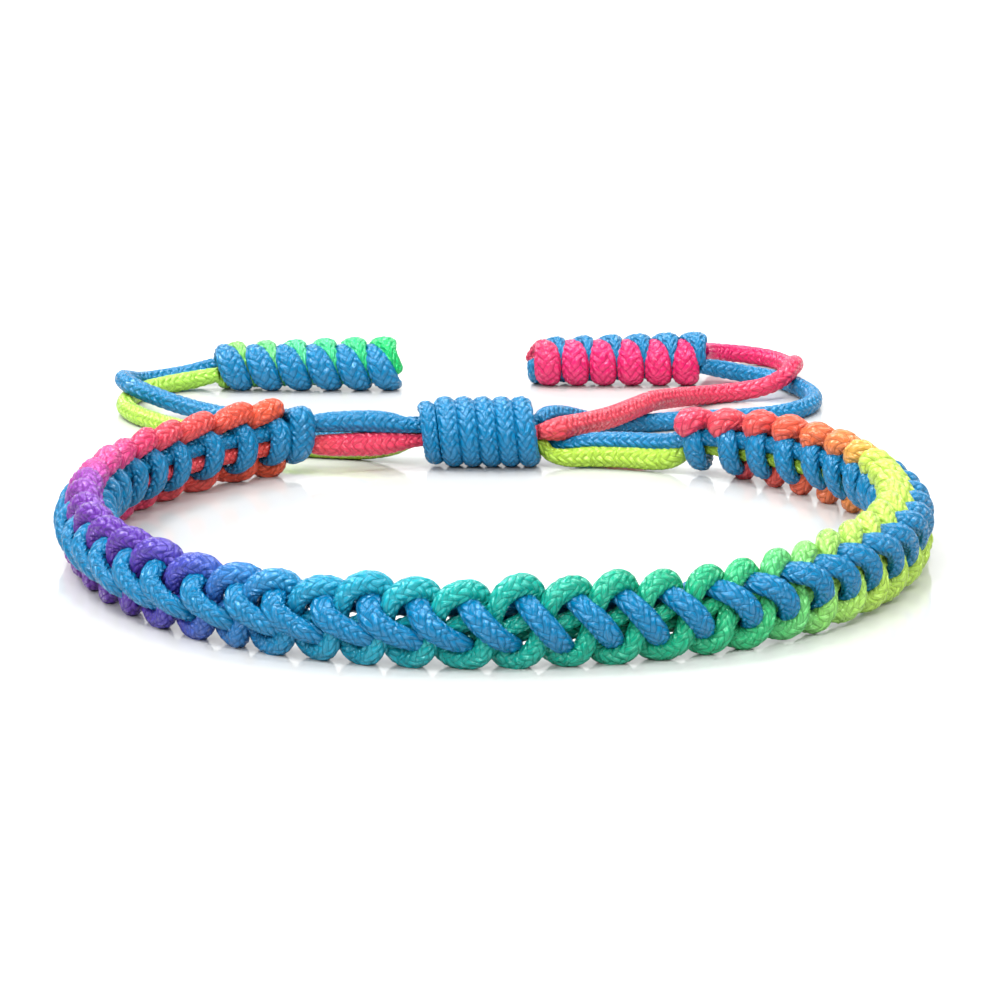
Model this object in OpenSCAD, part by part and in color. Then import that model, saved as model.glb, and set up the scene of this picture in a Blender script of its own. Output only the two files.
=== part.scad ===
// Braided cord bracelet, knotted flat band with a sliding knot and two stopper knots.
// It rests on its lower edge. +Y points from the middle of the band to the sliding knot.

/* [Cord] */
// Diameter of a cord where it runs free
cord_d = 1.5; // [1.4:0.05:1.5]
// Thickness of a core cord inside the band
core_d = 0.68; // [0.6:0.02:0.68]
// Thickness of a cord where a knot of the band squeezes it
tight_d = 0.86; // [0.84:0.01:0.86]
// Width of the wrapping cord against its thickness
wrap_flat = 1.25; // [1:0.05:1.3]

/* [Band] */
// Height of the band's middle above the surface it rests on
band_mid_z = 3.2; // [3.15:0.05:3.3]
// Height of each core cord above or below the band's middle
core_rise = 0.45; // [0.42:0.01:0.5]

/* [Sliding knot] */
// Turns of the sliding knot
slider_turns = 6; // [5:1:6]
// Distance from one turn to the next
slider_pitch = 1.51; // [1.5:0.01:1.52]
// Radius of the turns at the middle of the cord
slider_r = 2.12; // [2.1:0.01:2.2]
// Thickness of the cord in the turns
slider_d = 1.4; // [1.3:0.05:1.4]
// Thickness of the four cords that the turns hold
held_d = 1.06; // [0.9:0.02:1.08]

/* [Stopper knots] */
// Turns of each cord in a stopper knot
stopper_turns = 6; // [5:1:6]
// Radius of the turns at the middle of the cord
stopper_r = 1.5; // [1.45:0.01:1.55]
// How far apart the axes of the two cords' coils lie
stopper_gap = 0.7; // [0.6:0.05:0.7]
// Thickness of the cord in the turns
stopper_d = 0.84; // [0.8:0.02:0.84]
// Width of the cord on the outside of a turn against its thickness
stopper_flat = 1.3; // [1:0.05:1.35]

/* [Hidden] */

knots = 46;
// Middle of the ring: band and sliding knot together are centred on the origin
ring_at = [0.39, 1.86, 0];
thin_sides = 5;
core_sides = 5;
free_sides = 8;

// The ring seen from above, a row for each place where its curve changes.
// Columns: knot number, angle from the front, radius, height against the front,
// and how far the top of the band leans inwards.
ring_rows = [
    [-1, -148.9, 28.6, 1.00, 4],
    [0, -144.6, 28.7, 1.00, 4],
    [1, -140.3, 28.8, 1.00, 5],
    [4, -118.5, 29.4, 1.00, 6],
    [7, -99.5, 30.0, 1.00, 4],
    [12, -68.7, 30.1, 0.98, 0],
    [16, -41.5, 30.6, 0.97, 0],
    [20, -15.8, 30.5, 0.98, 0],
    [24, 8.8, 30.0, 1.00, 0],
    [29, 38.0, 30.0, 1.00, 14],
    [32, 55.5, 29.7, 1.00, 18],
    [36, 81.8, 29.3, 0.98, 17],
    [40, 108.1, 29.2, 0.98, 14],
    [43, 127.7, 28.8, 0.98, 16],
    [45, 140.5, 28.6, 0.95, 30],
    [46, 146.9, 28.4, 0.91, 38],
    [47, 153.2, 28.2, 0.88, 40]];

// One turn of the wrapping cord, from the top of one knot to the top of the next.
// Columns: along the band in knots, outwards, upwards from the middle, thickness factor.
wrap_rows = [
    [0.02, 0.10, 1.45, 0.90],
    [0.20, 1.55, 0.95, 1.00],
    [0.46, 1.95, -0.15, 1.00],
    [0.72, 1.75, -1.10, 1.00],
    [0.89, 0.90, -1.72, 0.88],
    [0.90, -0.30, -1.70, 0.80],
    [0.86, -1.20, -1.05, 1.00],
    [0.84, -1.40, -0.05, 1.00],
    [0.90, -1.15, 0.90, 0.95]];

// One knot of the edge cord: up the outside, over the top edge, back down across
// the outside behind the wrapping cord, and round the bottom edge.
// Columns as above.
edge_rows = [
    [-0.80, 1.15, -2.15, 1.00],
    [-0.67, 1.25, -1.20, 0.90],
    [-0.56, 0.85, 0.00, 0.65],
    [-0.45, 1.20, 1.20, 0.90],
    [-0.32, 0.95, 2.05, 1.00],
    [-0.05, 0.20, 2.62, 1.20],
    [0.22, -0.75, 2.15, 1.00],
    [0.38, -1.00, 1.35, 0.85],
    [0.40, 0.00, 1.22, 0.65],
    [0.25, 0.86, 0.66, 0.58],
    [-0.36, 0.80, -0.65, 0.60],
    [-0.52, 0.10, -1.22, 0.65],
    [-0.54, -0.95, -1.40, 0.85],
    [-0.36, -0.60, -2.22, 0.85],
    [-0.10, 0.45, -2.65, 1.10]];

function unit(v) = v / norm(v);
function column(rows, c) = [for (r = rows) [r[0], r[c]]];

// Distance outwards and height, turned with the band's lean
function leant(knot, out, up) =
    let (lean = lookup(knot, column(ring_rows, 4)))
    [out * cos(lean) - up * sin(lean), up * cos(lean) + out * sin(lean)];

// A point of the band from its knot number, distance outwards and height
function band_point(knot, out, up) =
    let (angle = lookup(knot, column(ring_rows, 1)),
         at = leant(knot, out, up),
         radius = lookup(knot, column(ring_rows, 2)) + at[0],
         tall = lookup(knot, column(ring_rows, 3)))
    [radius * sin(angle), -radius * cos(angle), (band_mid_z + at[1]) * tall];

// Direction from the core to a point of the band, which a flat cord faces
function band_facing(knot, out, up) =
    let (angle = lookup(knot, column(ring_rows, 1)), at = leant(knot, out, up))
    unit([at[0] * sin(angle), -at[0] * cos(angle), at[1]]);

// Directions of travel along a path
function travel(path) =
    let (last = len(path) - 1)
    [for (i = [0:last]) unit(path[min(i + 1, last)] - path[max(i - 1, 0)])];

// Side directions that turn as little as they can from ring to ring
function carried(along) =
    let (start = abs(along[0].z) < 0.8 ? [0, 0, 1] : [1, 0, 0])
    [for (i = 0, v = unit(start - (start * along[0]) * along[0]); i < len(along);
          i = i + 1,
          v = unit(v - (v * along[min(i, len(along) - 1)]) * along[min(i, len(along) - 1)])) v];

// Side directions that look the given way
function facing_sides(along, facing) =
    [for (i = [0:len(along) - 1]) unit(facing[i] - (facing[i] * along[i]) * along[i])];

// A cord along a path, with its half thickness and half width at each point
module swept(path, thick, wide, sides, facing = undef) {
    along = travel(path);
    outward = is_undef(facing) ? carried(along) : facing_sides(along, facing);
    last = len(path) - 1;
    points = [for (i = [0:last], j = [0:sides - 1])
        let (turn = 360 * (j + 0.5) / sides)
        path[i] + ring_at + thick[i] * cos(turn) * outward[i]
            + wide[i] * sin(turn) * cross(along[i], outward[i])];
    walls = [for (i = [0:last - 1], j = [0:sides - 1])
        let (a = i * sides + j, b = i * sides + (j + 1) % sides)
        each [[a, a + sides, b + sides], [a, b + sides, b]]];
    caps = [[for (j = [0:sides - 1]) j], [for (j = [sides - 1:-1:0]) last * sides + j]];
    polyhedron(points, concat(walls, caps), convexity = 10);
}

module round_cord(path, radius, sides) {
    swept(path, radius, radius, sides);
}

// Working cords of the band

wrap_lead = [for (i = [3:8]) wrap_rows[i] - [1, 0, 0, 0]];
wrap_path = concat(wrap_lead,
    [for (k = [0:knots - 1], r = wrap_rows) r + [k, 0, 0, 0]],
    [for (i = [0:2]) wrap_rows[i] + [knots, 0, 0, 0]]);
edge_path = concat(
    [for (i = [3:14]) edge_rows[i] + [1, 0, 0, 0]],
    [for (k = [2:knots - 1], r = edge_rows) r + [k, 0, 0, 0]],
    [for (i = [0:8]) edge_rows[i] + [knots, 0, 0, 0]]);

module wrap_cord() {
    color("steelblue")
        swept([for (r = wrap_path) band_point(r[0], r[1], r[2])],
              [for (r = wrap_path) r[3] * tight_d / 2],
              [for (r = wrap_path) r[3] * tight_d / 2 * wrap_flat],
              thin_sides,
              [for (r = wrap_path) band_facing(r[0], r[1], r[2])]);
}

module edge_cord() {
    color("mediumseagreen")
        round_cord([for (r = edge_path) band_point(r[0], r[1], r[2])],
                   [for (r = edge_path) r[3] * tight_d / 2], thin_sides);
}

// The sliding knot and the four cords through it

slider_x = -6.6;
slider_end_x = 3;
first_front_x = -5.5;
slider_y = 26.2;
slider_z = slider_r + slider_d / 2;
held_r = held_d * 0.75;
slider_from = 60;
slider_to = 360 * slider_turns - 60;
slider_steps = 57;

// The first turn is thinner, then the cord swells to its full thickness.
// Columns: angle, thickness factor.
slider_sizes = [[slider_from, 0.74], [200, 0.74], [400, 1]];

function slider_point(x, angle, r) = [x, slider_y + r * cos(angle), slider_z + r * sin(angle)];

// A held cord leaves on the right turned by this angle from where it enters on the left
held_turn = 54;

function held(angle) =
    [for (i = [0:2])
        slider_point(slider_x + (slider_end_x - slider_x) * i / 2, angle - held_turn * i / 2, held_r)];

// The turns run from the top over the front, wound on one inner radius
module slider_knot() {
    angles = [for (i = [0:slider_steps]) slider_from + (slider_to - slider_from) * i / slider_steps];
    sizes = [for (a = angles) lookup(a, slider_sizes)];
    inner = slider_r - slider_d / 2;
    color("steelblue")
        swept([for (i = [0:slider_steps])
                  slider_point(first_front_x + slider_pitch * (angles[i] - 180) / 360, angles[i],
                               inner + slider_d / 2 * sizes[i])],
              [for (v = sizes) slider_d / 2 * v], [for (v = sizes) slider_d / 2], thin_sides,
              [for (a = angles) [0, cos(a), sin(a)]]);
}

// Core cords: through the sliding knot, along the band and through the knot again.
// Columns of the taut stretches: x, y, z, thickness.

left_taut_blue = [[-15.8, 23.7, 3.85, 0.7], [-14.6, 23.8, 4.05, 1.1], [-11.6, 24.6, 4.05, cord_d],
                  [-9.2, 25.2, 3.85, 1.4]];
left_taut_pink = [[-15.8, 23.6, 2.6, 0.7], [-14.6, 23.6, 2.45, 1.1], [-11.6, 24.3, 2.3, cord_d],
                  [-9.2, 25.0, 2.25, 1.4]];
right_taut_blue = [[13.4, 24.5, 2.50, 1.4], [9.6, 25.6, 2.40, 1.4], [7.4, 26.2, 2.15, 1.35],
                   [5.3, 26.6, 1.60, 1.1], [4.0, 26.9, 1.90, 1.0]];
right_taut_lime = [[13.4, 24.1, 1.05, 1.4], [9.6, 25.2, 0.90, 1.4], [7.4, 25.6, 0.78, 1.35],
                   [5.3, 25.5, 0.75, 1.2], [4.0, 25.7, 1.10, 1.0]];

function with_size(points, d) = [for (p = points) [p[0], p[1], p[2], d]];
function backwards(rows) = [for (i = [len(rows) - 1:-1:0]) rows[i]];
function in_band(side) = [for (k = [0:knots])
    let (p = band_point(k, 0, side * core_rise)) [p[0], p[1], p[2], core_d]];

core_blue_path = concat(
    backwards(with_size(held(135), held_d)), backwards(left_taut_blue), in_band(1),
    right_taut_blue, backwards(with_size(held(45), held_d)));
core_rainbow_path = concat(
    backwards(with_size(held(225), held_d)), backwards(left_taut_pink), in_band(-1),
    right_taut_lime, backwards(with_size(held(315), held_d)));

module core(rows) {
    round_cord([for (r = rows) [r[0], r[1], r[2]]], [for (r = rows) r[3] / 2], core_sides);
}

module core_blue() { color("steelblue") core(core_blue_path); }
module core_rainbow() { color("tomato") core(core_rainbow_path); }

// Stopper knots: two coils wound the same way, each between the other's turns,
// one a little lower and in front, one a little higher and behind.
// The angle of a turn runs from the top over the front to the bottom.
// Each stop: x of the front coil's first top, y of the axis, distance between turns,
// how far the back coil is ahead of the front one in turns,
// and how far the top of a turn is drawn along the knot, in turns.

right_stop = [3.55, 56.8, 2.4, 0.5, 0.14];
left_stop = [-23.7, 54.8, 2.56, 0.42, -0.06];
stop_steps = 8;
lean_from = 15;
lean_to = 50;

// Rows of place, half thickness, half width and facing, from one angle to another
function coil(stop, side, from, to) =
    let (steps = ceil((to - from) / 360 * stop_steps), low_z = stopper_r + stopper_d / 2)
    [for (i = [0:steps])
        let (turn = from + (to - from) * i / steps,
             along = turn / 360 + (side > 0 ? 0 : stop[3]),
             lean = lean_from + (lean_to - lean_from) * along / stopper_turns,
             outside = max(0, side * (sin(turn) * cos(lean) - cos(turn) * sin(lean))))
        [[stop[0] + stop[2] * (along + stop[4] * cos(turn)),
          stop[1] - side * stopper_gap / 2 * cos(lean) - stopper_r * sin(turn),
          low_z + (side > 0 ? 0 : stopper_gap * sin(lean)) + stopper_r * cos(turn)],
         stopper_d / 2,
         stopper_d / 2 * (1 + (stopper_flat - 1) * outside),
         [0, -sin(turn), cos(turn)]]];

module coil_cord(rows) {
    swept([for (r = rows) r[0]], [for (r = rows) r[1]], [for (r = rows) r[2]], thin_sides,
          [for (r = rows) r[3]]);
}

right_pink_rows = coil(right_stop, 1, -110, 360 * stopper_turns - 60);
right_blue_rows = coil(right_stop, -1, -290, 360 * stopper_turns - 240);
left_blue_rows = coil(left_stop, 1, -90, 360 * stopper_turns - 150);
left_green_rows = coil(left_stop, -1, -250, 360 * stopper_turns - 230);

module stopper_right_pink() { color("deeppink") coil_cord(right_pink_rows); }
module stopper_right_blue() { color("steelblue") coil_cord(right_blue_rows); }
module stopper_left_blue() { color("steelblue") coil_cord(left_blue_rows); }
module stopper_left_green() { color("springgreen") coil_cord(left_green_rows); }

// Free tails, from the sliding knot over the surface to the stopper knots.
// Columns: x, y, z.

tail_right_red_route = [
    [4.5, 26.2, 3.00], [6.7, 29.2, 2.75], [9.1, 33.1, 2.45], [11.0, 36.5, 2.40],
    [12.7, 40.1, 2.20], [14.3, 43.6, 1.65], [16.1, 46.8, 1.10], [18.3, 49.0, 0.80],
    [20.7, 49.8, 0.90], [22.8, 50.2, 1.25], [24.4, 51.3, 1.80], [25.3, 53.3, 2.30],
    [25.7, 56.0, 1.95], [25.7, 59.0, 1.05], [25.3, 61.8, 0.75], [24.1, 64.0, 0.75],
    [22.1, 64.9, 0.90], [20.0, 64.4, 1.20], [18.6, 62.7, 1.65]];
tail_right_blue_route = [
    [3.7, 28.0, 3.65], [5.1, 30.2, 3.25], [7.0, 33.2, 2.15], [9.1, 36.0, 1.15],
    [11.5, 37.9, 0.78], [14.2, 38.9, 0.75], [17.0, 39.6, 0.75], [19.9, 40.2, 0.75],
    [22.6, 41.2, 0.75], [24.9, 43.0, 0.75], [26.4, 45.6, 0.75], [26.7, 48.6, 0.75],
    [26.0, 51.6, 0.75], [24.8, 54.3, 0.75], [23.2, 56.2, 0.75], [21.2, 57.1, 0.90],
    [19.2, 56.8, 1.35]];
tail_left_blue_route = [
    [-8.4, 27.8, 2.90], [-10.5, 30.0, 2.20], [-13.6, 33.4, 1.20], [-17.2, 36.8, 0.75],
    [-21.2, 39.8, 0.75], [-24.2, 41.8, 0.80], [-27.0, 43.4, 1.15], [-29.4, 44.5, 1.75],
    [-31.2, 46.0, 2.20], [-32.1, 48.3, 2.25], [-32.0, 51.1, 1.65], [-31.1, 53.8, 0.95],
    [-29.4, 55.8, 0.75], [-27.1, 56.7, 1.00], [-25.3, 56.6, 1.50]];
tail_left_lime_route = [
    [-8.4, 27.4, 1.45], [-10.4, 28.1, 0.90], [-12.8, 28.7, 0.75], [-15.6, 29.4, 0.75],
    [-18.8, 30.6, 0.75], [-22.2, 32.6, 0.75], [-25.4, 35.3, 0.75], [-28.2, 38.3, 0.75],
    [-30.4, 41.3, 0.75], [-31.6, 44.4, 0.75], [-31.6, 47.7, 0.75], [-30.6, 50.8, 0.75],
    [-28.9, 53.0, 0.75], [-26.8, 54.0, 0.95]];

// A tail from the end of its core cord to the end of its stopper cord
module tail(core_row, route, coil_row) {
    path = concat([[core_row[0], core_row[1], core_row[2]]], route, [coil_row[0]]);
    last = len(path) - 1;
    round_cord(path, [for (i = [0:last])
        (i == 0 ? held_d : i == last ? stopper_d : cord_d) / 2], free_sides);
}

module tail_right_blue() {
    color("steelblue")
        tail(core_blue_path[0], tail_right_blue_route, right_blue_rows[len(right_blue_rows) - 1]);
}
module tail_right_red() {
    color("crimson")
        tail(core_rainbow_path[0], tail_right_red_route, right_pink_rows[len(right_pink_rows) - 1]);
}
module tail_left_blue() {
    color("steelblue")
        tail(core_blue_path[len(core_blue_path) - 1], tail_left_blue_route, left_blue_rows[0]);
}
module tail_left_lime() {
    color("yellowgreen")
        tail(core_rainbow_path[len(core_rainbow_path) - 1], tail_left_lime_route, left_green_rows[0]);
}

core_blue();
core_rainbow();
edge_cord();
wrap_cord();
slider_knot();
tail_right_blue();
tail_right_red();
tail_left_blue();
tail_left_lime();
stopper_right_pink();
stopper_right_blue();
stopper_left_blue();
stopper_left_green();
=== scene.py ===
"""A knotted cord bracelet: its flat band, its sliding knot, its loose ends and their stopper knots."""

import math

import bmesh
import bpy
import numpy as np
from bpy.props import FloatProperty, FloatVectorProperty, IntProperty, PointerProperty, StringProperty
from bpy.types import Operator, Panel, PropertyGroup
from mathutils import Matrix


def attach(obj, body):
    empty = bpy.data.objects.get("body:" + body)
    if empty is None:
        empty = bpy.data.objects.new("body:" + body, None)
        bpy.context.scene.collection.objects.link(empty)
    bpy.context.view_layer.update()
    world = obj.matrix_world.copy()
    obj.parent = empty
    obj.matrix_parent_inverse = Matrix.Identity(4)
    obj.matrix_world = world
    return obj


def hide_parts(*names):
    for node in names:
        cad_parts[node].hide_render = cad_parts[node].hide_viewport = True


bl_info = {
    "name": "Knotted cord bracelet",
    "version": (1, 0, 0),
    "blender": (4, 5, 0),
    "location": "3D View > Sidebar > Bracelet",
    "description": "A knotted cord bracelet with a sliding knot and two stopper knots",
    "category": "Add Mesh",
}

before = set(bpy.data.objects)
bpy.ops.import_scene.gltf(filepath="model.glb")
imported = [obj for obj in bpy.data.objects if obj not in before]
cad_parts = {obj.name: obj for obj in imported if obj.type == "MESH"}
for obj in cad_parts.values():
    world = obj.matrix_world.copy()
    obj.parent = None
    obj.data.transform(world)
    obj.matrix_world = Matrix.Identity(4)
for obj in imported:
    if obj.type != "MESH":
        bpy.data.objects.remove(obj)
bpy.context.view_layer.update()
MM = 0.001

# Middle of the ring. The tables below count from it, in millimetres.
RING_AT = np.array([0.39, 1.86, 0.0])

# The ring seen from above, a row for each place where its curve changes.
# Columns: knot number, angle from the front, radius, height against the front, and how far
# the top of the band leans inwards, in degrees.
RING_ROWS = [
    (-1, -148.9, 28.6, 1.00, 4),
    (0, -144.6, 28.7, 1.00, 4),
    (1, -140.3, 28.8, 1.00, 5),
    (4, -118.5, 29.4, 1.00, 6),
    (7, -99.5, 30.0, 1.00, 4),
    (12, -68.7, 30.1, 0.98, 0),
    (16, -41.5, 30.6, 0.97, 0),
    (20, -15.8, 30.5, 0.98, 0),
    (24, 8.8, 30.0, 1.00, 0),
    (29, 38.0, 30.0, 1.00, 14),
    (32, 55.5, 29.7, 1.00, 18),
    (36, 81.8, 29.3, 0.98, 17),
    (40, 108.1, 29.2, 0.98, 14),
    (43, 127.7, 28.8, 0.98, 16),
    (45, 140.5, 28.6, 0.95, 30),
    (46, 146.9, 28.4, 0.91, 38),
    (47, 153.2, 28.2, 0.88, 40),
]

# One turn of the wrapping cord, from the top of one knot to the top of the next: a table for each
# shape that it takes round the ring, and WRAP_SHAPES says at which knots.
# Columns: along the band in knots, outwards, upwards from the middle, thickness and width factors.
WRAP_BACK_LEFT = [
    (0.02, 0.10, 1.50, 0.95, 0.95),
    (0.20, 1.55, 0.95, 1.00, 1.05),
    (0.46, 1.95, -0.15, 1.00, 1.15),
    (0.72, 1.75, -1.10, 1.00, 1.10),
    (0.89, 0.90, -1.72, 0.90, 1.00),
    (0.92, -0.30, -1.72, 0.90, 1.00),
    (0.90, -1.20, -1.10, 0.95, 1.15),
    (0.88, -1.45, -0.05, 1.00, 1.20),
    (0.90, -1.20, 1.00, 1.00, 1.15),
]
WRAP_LEFT = [
    (0.04, 0.20, 1.45, 0.95, 1.00),
    (0.09, 1.45, 1.00, 1.00, 1.12),
    (0.20, 1.98, 0.30, 1.00, 1.15),
    (0.52, 1.98, -0.45, 1.00, 1.10),
    (0.92, 1.65, -1.10, 1.00, 1.05),
    (1.02, 0.20, -1.72, 0.90, 1.00),
    (0.96, -1.15, -1.10, 0.95, 1.15),
    (0.90, -1.45, -0.05, 0.95, 1.15),
    (0.92, -1.20, 0.95, 0.95, 1.10),
]
WRAP_FRONT = [
    (0.03, 0.20, 1.50, 0.95, 0.95),
    (0.20, 1.50, 1.05, 1.00, 1.00),
    (0.46, 1.95, 0.10, 1.00, 1.05),
    (0.72, 1.80, -1.00, 1.00, 1.05),
    (0.89, 0.95, -1.68, 0.90, 0.95),
    (0.90, -0.30, -1.70, 0.90, 1.00),
    (0.86, -1.20, -1.05, 0.95, 1.10),
    (0.84, -1.40, -0.05, 0.95, 1.10),
    (0.90, -1.15, 0.90, 0.95, 1.05),
]
WRAP_RIGHT = [
    (-0.05, 0.70, 1.45, 0.95, 1.00),
    (0.26, 1.65, 1.15, 1.00, 1.08),
    (0.62, 2.00, 0.60, 1.00, 1.12),
    (0.90, 1.85, -0.35, 1.00, 1.10),
    (1.04, 1.20, -1.30, 0.95, 1.00),
    (1.00, -0.20, -1.68, 0.90, 1.00),
    (0.92, -1.15, -1.05, 0.95, 1.10),
    (0.86, -1.40, -0.05, 0.95, 1.10),
    (0.88, -1.10, 0.95, 0.95, 1.00),
]
WRAP_BACK_RIGHT = [
    (0.04, 0.10, 1.55, 0.95, 1.00),
    (0.20, 1.55, 0.95, 1.00, 1.05),
    (0.46, 1.95, -0.15, 1.00, 1.10),
    (0.68, 1.65, -1.15, 1.00, 1.00),
    (0.76, 0.60, -1.75, 0.90, 1.00),
    (0.76, -0.50, -1.75, 0.90, 1.05),
    (0.75, -1.30, -1.05, 0.95, 1.15),
    (0.77, -1.55, 0.00, 1.00, 1.18),
    (0.84, -1.25, 1.00, 1.00, 1.12),
]
WRAP_END_RIGHT = [
    (0.00, 0.10, 1.55, 0.95, 1.00),
    (0.18, 1.55, 0.95, 1.00, 1.05),
    (0.46, 1.95, -0.15, 1.00, 1.10),
    (0.78, 1.55, -1.35, 1.00, 0.95),
    (0.92, 0.60, -1.90, 0.95, 0.90),
    (0.88, -0.50, -2.10, 1.00, 0.95),
    (0.78, -1.45, -1.60, 1.05, 1.12),
    (0.73, -1.75, -0.30, 1.05, 1.16),
    (0.74, -1.35, 0.95, 1.00, 1.12),
]
# The turn that closes the band's left end, which is taller
WRAP_START = [
    (-0.34, 1.60, 0.60, 0.90, 0.90),
    (-0.30, 1.75, -0.90, 0.95, 1.00),
    (-0.20, 0.90, -1.75, 0.90, 1.00),
    (-0.10, -0.30, -1.80, 0.90, 1.10),
    (-0.06, -1.25, -1.10, 0.95, 1.35),
    (-0.08, -1.55, 0.30, 1.05, 1.45),
    (-0.08, -1.20, 1.95, 1.05, 1.35),
]
# Columns: knot number, shape. Between two rows the shape changes evenly.
WRAP_SHAPES = [
    (4, WRAP_BACK_LEFT), (13, WRAP_LEFT), (20, WRAP_LEFT), (23, WRAP_FRONT), (26, WRAP_FRONT),
    (29, WRAP_RIGHT), (34, WRAP_RIGHT), (39, WRAP_BACK_RIGHT), (41, WRAP_BACK_RIGHT),
    (44, WRAP_END_RIGHT),
]

# One knot of the edge cord: up the outside, over the top edge, back down across the outside behind
# the wrapping cord, and round the bottom edge. A table for each shape, as above.
# Columns: along the band in knots, outwards, upwards from the middle, thickness factor.
EDGE_FRONT = [
    (-0.80, 1.10, -2.12, 1.10),
    (-0.67, 1.25, -1.20, 1.00),
    (-0.56, 1.00, 0.00, 0.85),
    (-0.46, 1.20, 1.10, 0.95),
    (-0.36, 1.10, 1.80, 1.10),
    (-0.07, 0.80, 2.38, 1.18),
    (0.21, 0.25, 2.10, 1.18),
    (0.35, 0.10, 1.35, 1.05),
    (0.31, 0.45, 0.75, 0.90),
    (0.16, 0.75, 0.25, 0.90),
    (-0.34, 0.75, -0.65, 0.90),
    (-0.48, 0.45, -1.25, 1.05),
    (-0.48, 0.30, -1.80, 1.05),
    (-0.36, 0.35, -2.25, 1.15),
    (-0.08, 0.65, -2.55, 1.18),
]
EDGE_BACK_LEFT = [
    (-0.80, 1.10, -2.12, 1.10),
    (-0.67, 1.25, -1.20, 1.00),
    (-0.58, 1.00, 0.00, 0.85),
    (-0.50, 1.10, 1.10, 0.95),
    (-0.44, 0.70, 1.85, 1.12),
    (-0.20, -0.05, 2.42, 1.28),
    (0.20, -0.40, 2.42, 1.32),
    (0.50, -0.30, 2.05, 1.15),
    (0.46, 0.35, 1.15, 0.90),
    (0.20, 0.75, 0.25, 0.85),
    (-0.34, 0.75, -0.65, 0.85),
    (-0.48, 0.35, -1.25, 0.90),
    (-0.48, 0.05, -1.85, 1.05),
    (-0.34, 0.00, -2.35, 1.15),
    (-0.08, 0.40, -2.50, 1.15),
]
EDGE_BACK_RIGHT = [
    (-0.80, 1.10, -2.12, 1.10),
    (-0.67, 1.25, -1.20, 1.00),
    (-0.56, 1.00, 0.00, 0.85),
    (-0.40, 0.95, 1.10, 0.95),
    (-0.26, 0.40, 2.00, 1.25),
    (-0.14, -0.10, 2.38, 1.48),
    (-0.02, -0.35, 2.15, 1.52),
    (0.04, -0.30, 1.70, 1.30),
    (0.10, 0.35, 0.95, 0.90),
    (0.04, 0.75, 0.25, 0.85),
    (-0.34, 0.75, -0.65, 0.85),
    (-0.48, 0.15, -1.30, 0.90),
    (-0.48, -0.45, -1.95, 1.05),
    (-0.34, -0.60, -2.40, 1.20),
    (-0.08, -0.10, -2.48, 1.20),
]
# Columns: knot number, shape. Between two rows the shape changes evenly.
EDGE_SHAPES = [(7, EDGE_BACK_LEFT), (12, EDGE_FRONT), (31, EDGE_FRONT), (38, EDGE_BACK_RIGHT)]

# Knots that were pulled off the even pattern. Columns: knot number, shift along the band in
# knots, and how much lower or higher the top of its arch is.
PULLED_KNOTS = [
    (16, 0.06, -0.25), (17, 0.15, -0.40), (18, 0.00, -0.30), (19, -0.03, -0.50), (20, -0.04, 0.15),
    (21, -0.15, -0.15), (22, -0.18, -0.35), (23, -0.02, 0.15), (24, -0.04, -0.30),
    (26, 0.04, -0.35), (27, 0.11, -0.45), (28, 0.10, -0.35), (29, 0.08, -0.30), (30, 0.04, -0.20),
]
# How high an arch's top is over the band's middle
ARCH_TOP = 2.4
# A knot tied by hand strays a little, along the band in knots and upwards. Columns: how far, how
# fast that changes from knot to knot, and where it starts.
STRAY_ALONG = (0.035, 2.4, 0.0)
STRAY_UP = (0.07, 3.7, 1.0)

# Taut stretches between the band's ends and the sliding knot. Columns: x, y, z, thickness.
LEFT_TAUT_BLUE = [(-15.8, 23.7, 3.85, 0.9), (-14.6, 23.8, 4.05, 1.4), (-11.6, 24.6, 4.02, 1.7),
                  (-9.2, 25.2, 3.80, 1.75)]
LEFT_TAUT_PINK = [(-15.8, 23.6, 2.6, 0.9), (-14.6, 23.6, 2.35, 1.5), (-11.6, 24.3, 2.2, 1.85),
                  (-9.2, 25.0, 2.15, 1.85)]
RIGHT_TAUT_BLUE = [(13.4, 24.5, 2.30, 1.5), (9.6, 25.6, 2.15, 1.5), (7.4, 26.2, 2.00, 1.4),
                   (5.3, 26.6, 1.60, 1.2), (4.0, 26.9, 1.90, 1.1)]
RIGHT_TAUT_LIME = [(13.4, 24.1, 1.15, 1.7), (9.6, 25.2, 1.00, 1.75), (7.4, 25.6, 0.90, 1.65),
                   (5.3, 25.5, 0.85, 1.4), (4.0, 25.7, 1.10, 1.1)]

# Loose ends, from the sliding knot over the surface to the stopper knots. Columns: x, y, z.
TAIL_RIGHT_RED = [
    (4.5, 26.2, 3.00), (6.7, 29.2, 2.75), (9.1, 33.1, 2.45), (11.0, 36.5, 2.40),
    (12.7, 40.1, 2.20), (14.3, 43.6, 1.65), (16.1, 46.8, 1.10), (18.3, 49.0, 0.80),
    (20.7, 49.8, 0.90), (22.8, 50.2, 1.25), (24.4, 51.3, 1.80), (25.3, 53.3, 2.30),
    (25.7, 56.0, 1.95), (25.7, 59.0, 1.05), (25.3, 61.8, 0.75), (24.1, 64.0, 0.75),
    (22.1, 64.9, 0.90), (20.0, 64.4, 1.20), (18.6, 62.7, 1.65),
]
TAIL_RIGHT_BLUE = [
    (3.7, 28.0, 3.65), (5.1, 30.2, 3.25), (7.0, 33.2, 2.15), (9.1, 36.0, 1.15),
    (11.5, 37.9, 0.78), (14.2, 38.9, 0.75), (17.0, 39.6, 0.75), (19.9, 40.2, 0.75),
    (22.6, 41.2, 0.75), (24.9, 43.0, 0.75), (26.4, 45.6, 0.75), (26.7, 48.6, 0.75),
    (26.0, 51.6, 0.75), (24.8, 54.3, 0.75), (23.2, 56.2, 0.75), (21.2, 57.1, 0.90),
    (19.2, 56.8, 1.35),
]
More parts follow.
